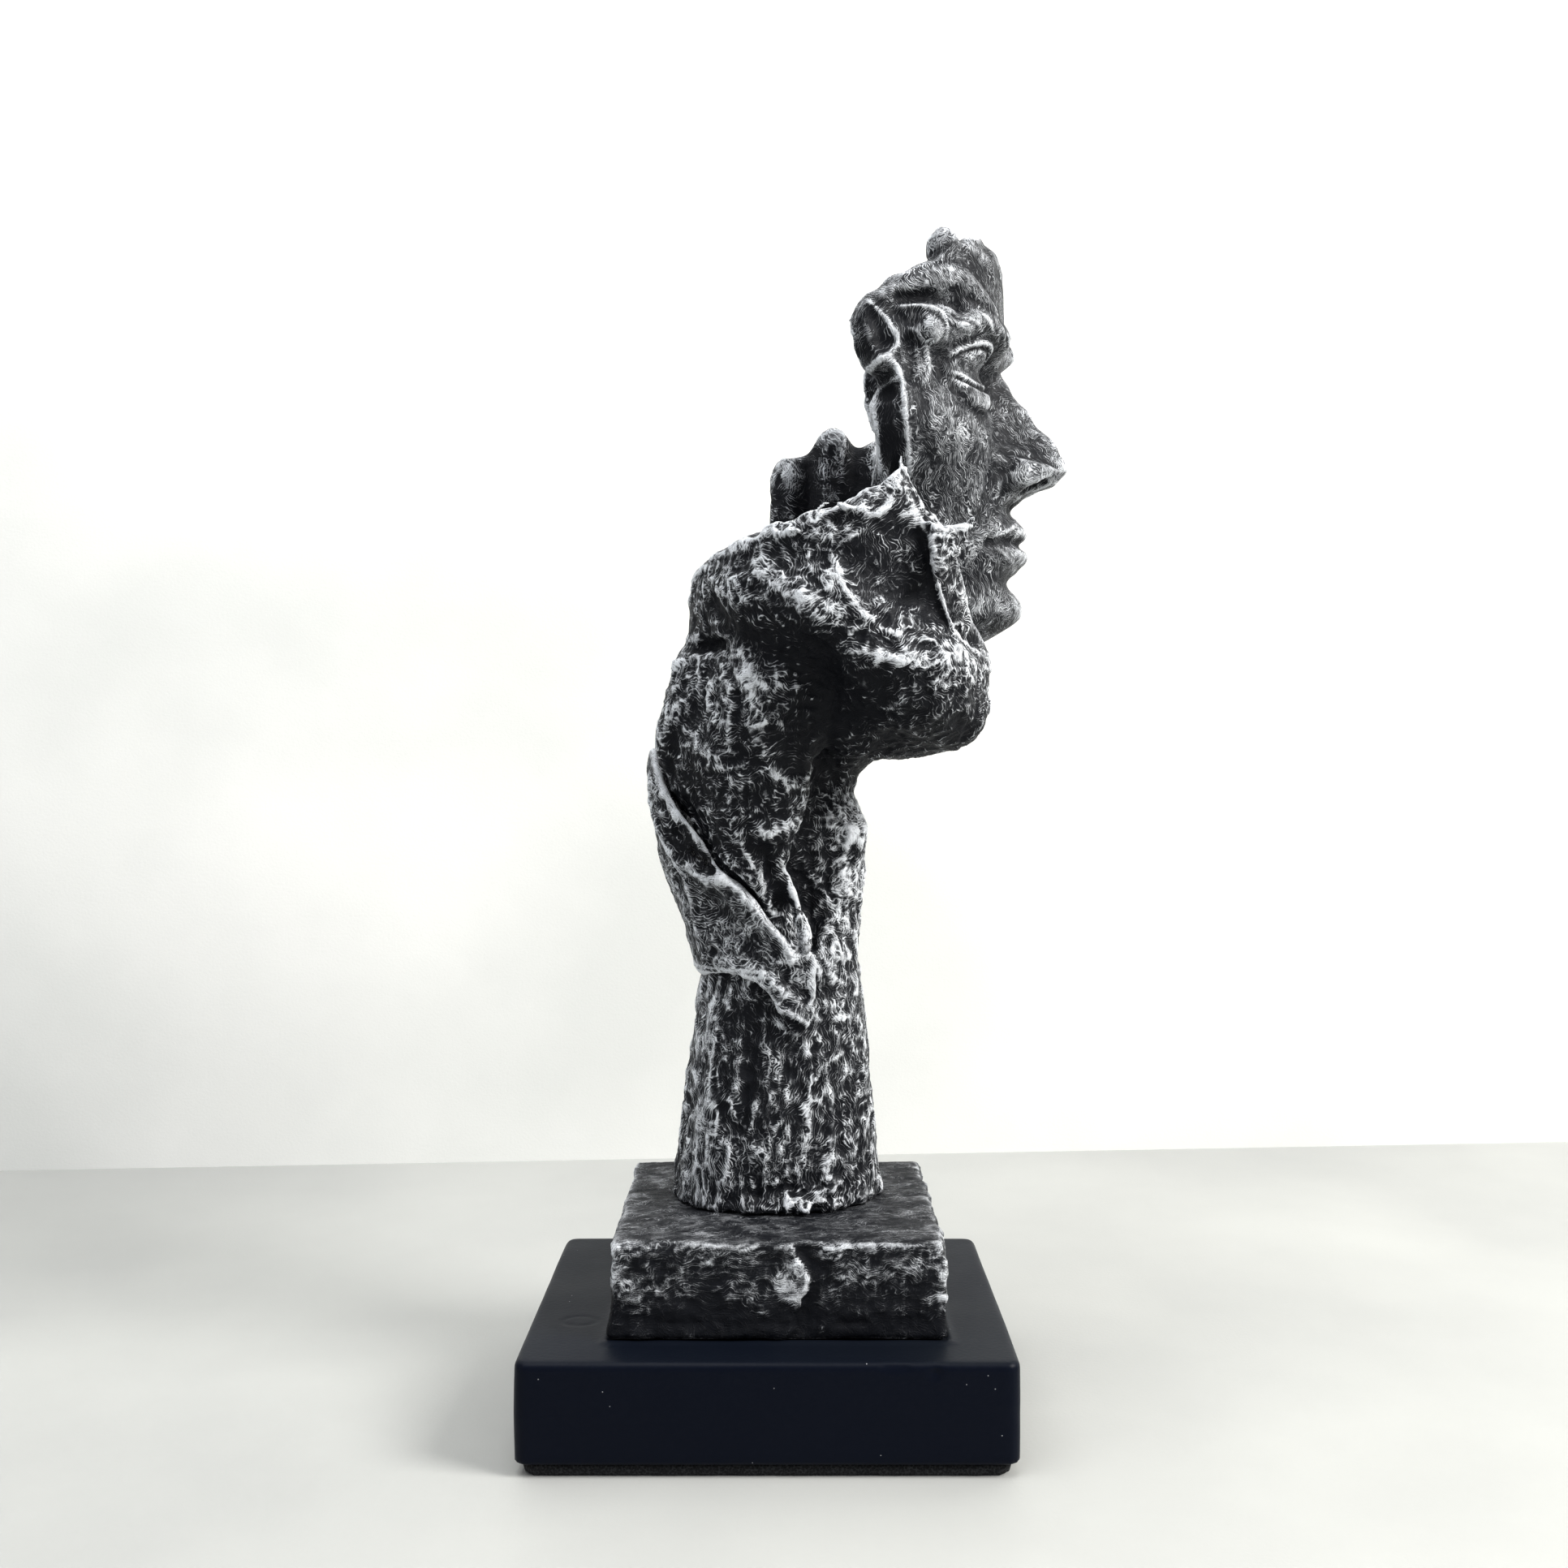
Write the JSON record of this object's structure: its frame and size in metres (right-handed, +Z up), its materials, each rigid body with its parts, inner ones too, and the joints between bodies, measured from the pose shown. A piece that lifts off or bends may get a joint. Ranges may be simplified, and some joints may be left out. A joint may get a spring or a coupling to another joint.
{
  "type": "face relief sculpture",
  "caption": "Desk sculpture of a torn face shell held in a cupped hand that rises from a forearm column with a torn cuff, on a rough block and a black plinth with a foam foot.",
  "frame": {"origin": "centre of the underside of the foam foot, on the surface it rests on", "axes": "+Z up, +X the way the face looks, -Y the side with the thumb and the torn cuff's long tongue"},
  "size_m": [0.1494, 0.12, 0.332],
  "materials": {
    "resin": "matte cast resin, charcoal with silver dry-brushed highlights",
    "black_lacquer": "satin blue-black paint",
    "foam": "fine-celled dark foam sheet",
    "steel": "plain zinc-plated"
  },
  "bodies": {
    "root": {"foot_pad": "foam", "plinth": "black_lacquer", "stone_block": "resin", "forearm_column": "resin", "cupped_hand": "resin", "wrist_cuff": "resin", "face_shell": "resin", "tie_rod": "steel", "rod_washer": "steel", "rod_nut": "steel", "plinth_screw_left": "steel", "plinth_screw_right": "steel", "chin_dowel_near": "steel", "chin_dowel_far": "steel"}
  },
  "joints": []
}
